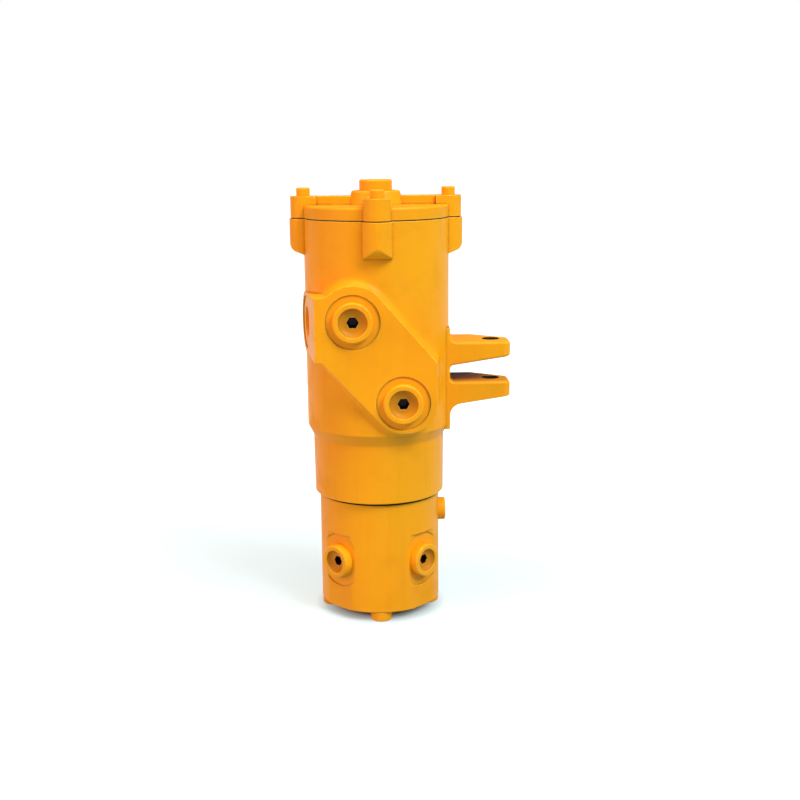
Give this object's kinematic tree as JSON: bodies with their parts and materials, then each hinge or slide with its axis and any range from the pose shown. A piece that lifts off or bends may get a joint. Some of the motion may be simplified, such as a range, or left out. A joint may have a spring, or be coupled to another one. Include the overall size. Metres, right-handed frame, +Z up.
{
  "type": "hydraulic rotary union",
  "caption": "Upright hydraulic rotary union: cast housing with bolted cover, port pads and stopper clevis, turning on a stem whose foot drum carries plugged hose ports.",
  "frame": {"origin": "centre of the underside of the stem's foot drum, on the turning axis", "axes": "+Z up the turning axis, +X towards the stopper clevis, -Y towards the diagonal front port pad"},
  "size_m": [0.2132, 0.1674, 0.4289],
  "materials": {
    "casting_paint": "glossy paint on cast iron",
    "stem_paint": "glossy paint on machined steel",
    "plug_paint": "glossy paint on turned steel",
    "screw_paint": "glossy paint on steel screws",
    "gasket_black": "matte",
    "seal_rubber": "matte",
    "seal_plastic": "matte",
    "guide_plastic": "matte",
    "bronze": "satin",
    "bare_steel": "turned"
  },
  "bodies": {
    "stem_body": {"stem": "stem_paint", "thrust_ring": "bronze", "retaining_plate": "bare_steel", "retaining_screws": "bare_steel", "base_screws": "screw_paint", "drain_plug": "plug_paint", "drain_plug_seal": "seal_rubber", "foot_plug_front_left": "plug_paint", "foot_plug_front_right": "plug_paint", "foot_plug_back_left": "plug_paint", "foot_plug_back_right": "plug_paint", "foot_plug_seal_front_left": "seal_rubber", "foot_plug_seal_front_right": "seal_rubber", "foot_plug_seal_back_left": "seal_rubber", "foot_plug_seal_back_right": "seal_rubber"},
    "housing_body": {"housing": "casting_paint", "cover": "casting_paint", "cover_gasket": "gasket_black", "cover_screws": "screw_paint", "centre_plug": "plug_paint", "centre_plug_seal": "seal_rubber", "upper_thrust_washer": "bronze", "dust_seal": "seal_rubber", "lower_guide_ring": "guide_plastic", "upper_guide_ring": "guide_plastic", "port_plug_front_upper": "plug_paint", "port_plug_front_lower": "plug_paint", "port_plug_left": "plug_paint", "port_plug_rear_upper": "plug_paint", "port_plug_rear_lower": "plug_paint", "port_plug_seal_front_upper": "seal_rubber", "port_plug_seal_front_lower": "seal_rubber", "port_plug_seal_rear_upper": "seal_rubber", "port_plug_seal_rear_lower": "seal_rubber", "rotary_seal_1": "seal_plastic", "rotary_seal_2": "seal_plastic", "rotary_seal_3": "seal_plastic", "rotary_seal_4": "seal_plastic", "rotary_seal_5": "seal_plastic", "energiser_1": "seal_rubber", "energiser_2": "seal_rubber", "energiser_3": "seal_rubber", "energiser_4": "seal_rubber", "energiser_5": "seal_rubber"}
  },
  "joints": [
    {"name": "swivel", "type": "hinge", "parent": "stem_body", "child": "housing_body", "pos_m": [0, 0, 0.1126], "axis": [0, 0, 1], "continuous": true}
  ]
}
